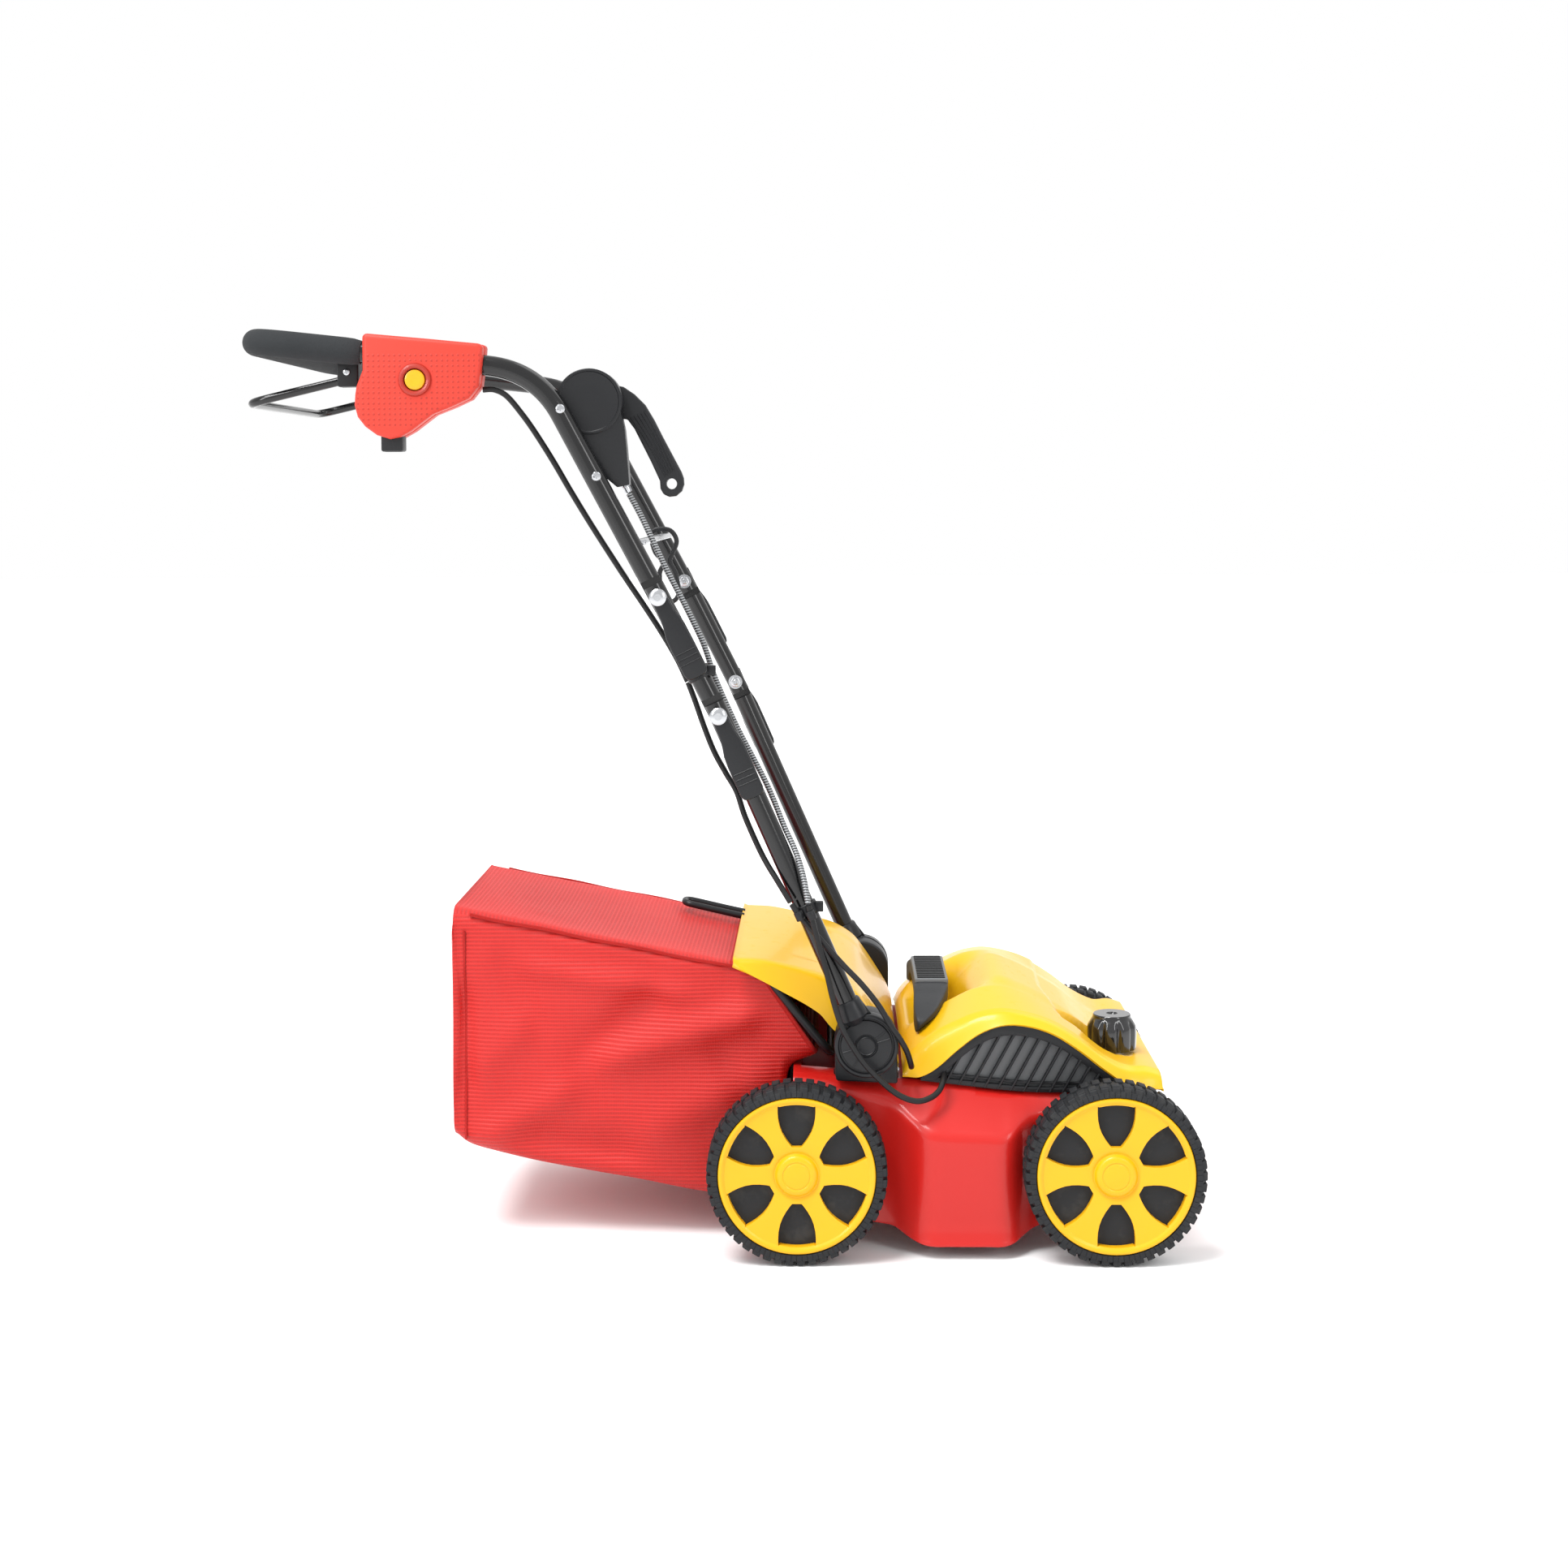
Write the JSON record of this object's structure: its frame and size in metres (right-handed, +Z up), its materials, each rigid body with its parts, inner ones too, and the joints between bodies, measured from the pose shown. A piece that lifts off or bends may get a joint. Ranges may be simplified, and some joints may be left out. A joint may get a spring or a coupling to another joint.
{
  "type": "lawn scarifier",
  "caption": "Walk-behind electric lawn scarifier: bladed rotor under a deck and hood, spoked wheels, folding tube handle with bail and switch box, and a fabric catcher bag.",
  "frame": {"origin": "on the ground under the middle of the whole machine's box", "axes": "+X towards the machine's front, +Y to the operator's left, +Z up; the catcher bag and the handle grip are at -X"},
  "size_m": [1.0681, 0.513, 1.0344],
  "materials": {
    "bag_fabric": "matte",
    "bag_frame": "matte",
    "bag_handle": "matte",
    "bail": "gloss",
    "bail_bracket_left": "matte",
    "bail_bracket_right": "matte",
    "blade_stack": "satin",
    "cable_clip_lower": "matte",
    "cable_clip_middle": "matte",
    "carry_handle": "matte",
    "cord_hook": "matte",
    "crossbar": "satin",
    "deck_shell": "satin",
    "depth_knob": "gloss",
    "drive_belt": "matte",
    "drive_pulley": "matte",
    "flap_pin": "satin",
    "foam_grip": "matte",
    "front_axle": "satin",
    "hood": "satin",
    "lever_housing": "matte",
    "lift_cable_lower": "matte",
    "lift_cable_middle": "matte",
    "lift_cable_upper": "matte",
    "lift_lever": "matte",
    "lower_tube_left": "gloss",
    "lower_tube_right": "gloss",
    "middle_tube_left": "gloss",
    "middle_tube_right": "gloss",
    "motor": "matte",
    "pivot_bracket_left": "matte",
    "pivot_bracket_right": "matte",
    "pivot_cover_left": "matte",
    "pivot_cover_right": "matte",
    "power_cable_lower": "matte",
    "power_cable_middle": "matte",
    "power_cable_upper": "matte",
    "quick_lever_lower_left": "matte",
    "quick_lever_lower_right": "matte",
    "quick_lever_upper_left": "matte",
    "quick_lever_upper_right": "matte",
    "rear_axle": "satin",
    "rear_flap": "satin",
    "rotor_bearing_left": "matte",
    "rotor_bearing_right": "matte",
    "rotor_pulley": "matte",
    "rotor_shaft": "satin",
    "side_grille_left": "matte",
    "side_grille_right": "matte",
    "start_button": "gloss",
    "switch_box": "satin",
    "upper_handle": "gloss",
    "wheel_cover_front_left": "satin",
    "wheel_cover_front_right": "satin",
    "wheel_cover_rear_left": "satin",
    "wheel_cover_rear_right": "satin",
    "wheel_front_left": "matte",
    "wheel_front_right": "matte",
    "wheel_rear_left": "matte",
    "wheel_rear_right": "matte"
  },
  "bodies": {
    "machine": {"deck_shell": "deck_shell", "hood": "hood", "side_grille_left": "side_grille_left", "side_grille_right": "side_grille_right", "carry_handle": "carry_handle", "motor": "motor", "drive_belt": "drive_belt", "rotor_bearing_left": "rotor_bearing_left", "rotor_bearing_right": "rotor_bearing_right", "rear_axle": "rear_axle", "pivot_bracket_left": "pivot_bracket_left", "pivot_bracket_right": "pivot_bracket_right", "flap_pin": "flap_pin"},
    "rotor": {"rotor_shaft": "rotor_shaft", "rotor_pulley": "rotor_pulley", "blade_stack": "blade_stack"},
    "motor_pulley": {"drive_pulley": "drive_pulley"},
    "front_carrier": {"front_axle": "front_axle"},
    "wheel_front_left": {"wheel_front_left": "wheel_front_left", "wheel_cover_front_left": "wheel_cover_front_left"},
    "wheel_front_right": {"wheel_front_right": "wheel_front_right", "wheel_cover_front_right": "wheel_cover_front_right"},
    "wheel_rear_left": {"wheel_rear_left": "wheel_rear_left", "wheel_cover_rear_left": "wheel_cover_rear_left"},
    "wheel_rear_right": {"wheel_rear_right": "wheel_rear_right", "wheel_cover_rear_right": "wheel_cover_rear_right"},
    "flap": {"rear_flap": "rear_flap"},
    "bag": {"bag_fabric": "bag_fabric", "bag_frame": "bag_frame", "bag_handle": "bag_handle"},
    "depth_knob": {"depth_knob": "depth_knob"},
    "lower_handle": {"lower_tube_left": "lower_tube_left", "lower_tube_right": "lower_tube_right", "pivot_cover_left": "pivot_cover_left", "pivot_cover_right": "pivot_cover_right", "cable_clip_lower": "cable_clip_lower", "power_cable_lower": "power_cable_lower", "lift_cable_lower": "lift_cable_lower"},
    "middle_handle": {"middle_tube_left": "middle_tube_left", "middle_tube_right": "middle_tube_right", "cable_clip_middle": "cable_clip_middle", "power_cable_middle": "power_cable_middle", "lift_cable_middle": "lift_cable_middle"},
    "upper_handle": {"upper_handle": "upper_handle", "foam_grip": "foam_grip", "switch_box": "switch_box", "crossbar": "crossbar", "cord_hook": "cord_hook", "lever_housing": "lever_housing", "bail_bracket_left": "bail_bracket_left", "bail_bracket_right": "bail_bracket_right", "power_cable_upper": "power_cable_upper", "lift_cable_upper": "lift_cable_upper"},
    "quick_lever_lower_left": {"quick_lever_lower_left": "quick_lever_lower_left"},
    "quick_lever_lower_right": {"quick_lever_lower_right": "quick_lever_lower_right"},
    "quick_lever_upper_left": {"quick_lever_upper_left": "quick_lever_upper_left"},
    "quick_lever_upper_right": {"quick_lever_upper_right": "quick_lever_upper_right"},
    "lift_lever": {"lift_lever": "lift_lever"},
    "bail": {"bail": "bail"},
    "start_button": {"start_button": "start_button"}
  },
  "joints": [
    {"name": "wheel_rear_left_spin", "type": "hinge", "parent": "machine", "child": "wheel_rear_left", "pos_m": [0.08425, 0.2565, 0.1], "axis": [0, 1, 0], "continuous": true},
    {"name": "wheel_rear_right_spin", "type": "hinge", "parent": "machine", "child": "wheel_rear_right", "pos_m": [0.08425, -0.2565, 0.1], "axis": [0, 1, 0], "continuous": true},
    {"name": "front_carrier_lift", "type": "hinge", "parent": "machine", "child": "front_carrier", "pos_m": [0.37625, 0, 0.122], "axis": [0, -1, 0], "range_deg": [0, 10]},
    {"name": "wheel_front_left_spin", "type": "hinge", "parent": "front_carrier", "child": "wheel_front_left", "pos_m": [0.43425, 0.2565, 0.1], "axis": [0, 1, 0], "continuous": true},
    {"name": "wheel_front_right_spin", "type": "hinge", "parent": "front_carrier", "child": "wheel_front_right", "pos_m": [0.43425, -0.2565, 0.1], "axis": [0, 1, 0], "continuous": true},
    {"name": "rotor_spin", "type": "hinge", "parent": "machine", "child": "rotor", "pos_m": [0.27425, 0, 0.09], "axis": [0, 1, 0], "continuous": true},
    {"name": "motor_pulley_spin", "type": "hinge", "parent": "machine", "child": "motor_pulley", "pos_m": [0.30925, 0.15, 0.2215], "axis": [0, 1, 0], "continuous": true},
    {"name": "flap_hinge", "type": "hinge", "parent": "machine", "child": "flap", "pos_m": [0.19625, 0, 0.1985], "axis": [0, 1, 0], "range_deg": [0, 23]},
    {"name": "bag_lift_off", "type": "slide", "parent": "machine", "child": "bag", "axis": [-0.9806, 0, 0.1961], "range_m": [0, 0.12]},
    {"name": "depth_knob_turn", "type": "hinge", "parent": "machine", "child": "depth_knob", "pos_m": [0.44825, -0.1, 0.2035], "axis": [0, 0, 1], "range_deg": [0, 300]},
    {"name": "handle_fold_lower", "type": "hinge", "parent": "machine", "child": "lower_handle", "pos_m": [0.16155, 0, 0.2368], "axis": [0, 1, 0], "range_deg": [0, 75], "deforming": ["power_cable_lower", "lift_cable_lower"]},
    {"name": "handle_fold_middle", "type": "hinge", "parent": "lower_handle", "child": "middle_handle", "pos_m": [0.00025, 0, 0.605], "axis": [0, -1, 0], "range_deg": [0, 85], "deforming": ["power_cable_middle", "lift_cable_middle"]},
    {"name": "handle_fold_upper", "type": "hinge", "parent": "middle_handle", "child": "upper_handle", "pos_m": [-0.06525, 0, 0.7356], "axis": [0, 1, 0], "range_deg": [0, 125], "deforming": ["power_cable_upper", "lift_cable_upper"]},
    {"name": "quick_lever_lower_left_swing", "type": "hinge", "parent": "lower_handle", "child": "quick_lever_lower_left", "pos_m": [0.00025, 0.2375, 0.605], "axis": [0.916, 0, 0.4013], "range_deg": [0, 100]},
    {"name": "quick_lever_lower_right_swing", "type": "hinge", "parent": "lower_handle", "child": "quick_lever_lower_right", "pos_m": [0.00025, -0.2375, 0.605], "axis": [-0.916, 0, -0.4013], "range_deg": [0, 100]},
    {"name": "quick_lever_upper_left_swing", "type": "hinge", "parent": "middle_handle", "child": "quick_lever_upper_left", "pos_m": [-0.06525, 0.2375, 0.7356], "axis": [0.8939, 0, 0.4483], "range_deg": [0, 100]},
    {"name": "quick_lever_upper_right_swing", "type": "hinge", "parent": "middle_handle", "child": "quick_lever_upper_right", "pos_m": [-0.06525, -0.2375, 0.7356], "axis": [-0.8939, 0, -0.4483], "range_deg": [0, 100]},
    {"name": "lift_lever_swing", "type": "hinge", "parent": "upper_handle", "child": "lift_lever", "pos_m": [-0.14275, 0, 0.951], "axis": [0, -1, 0], "range_deg": [0, 80]},
    {"name": "bail_squeeze", "type": "hinge", "parent": "upper_handle", "child": "bail", "pos_m": [-0.41075, 0, 0.98], "axis": [0, 1, 0], "range_deg": [0, 20], "stiffness_Nm_per_rad": 0.5, "springref_deg": -20.05},
    {"name": "start_button_press", "type": "slide", "parent": "upper_handle", "child": "start_button", "axis": [0, 1, 0], "range_m": [0, 0.0035], "stiffness_N_per_m": 400, "springref_m": -0.0025}
  ],
  "couplings": [
    {"joint": "motor_pulley_spin", "follows": "rotor_spin", "ratio": 2},
    {"joint": "front_carrier_lift", "follows": "lift_lever_swing", "ratio": 0.125}
  ]
}
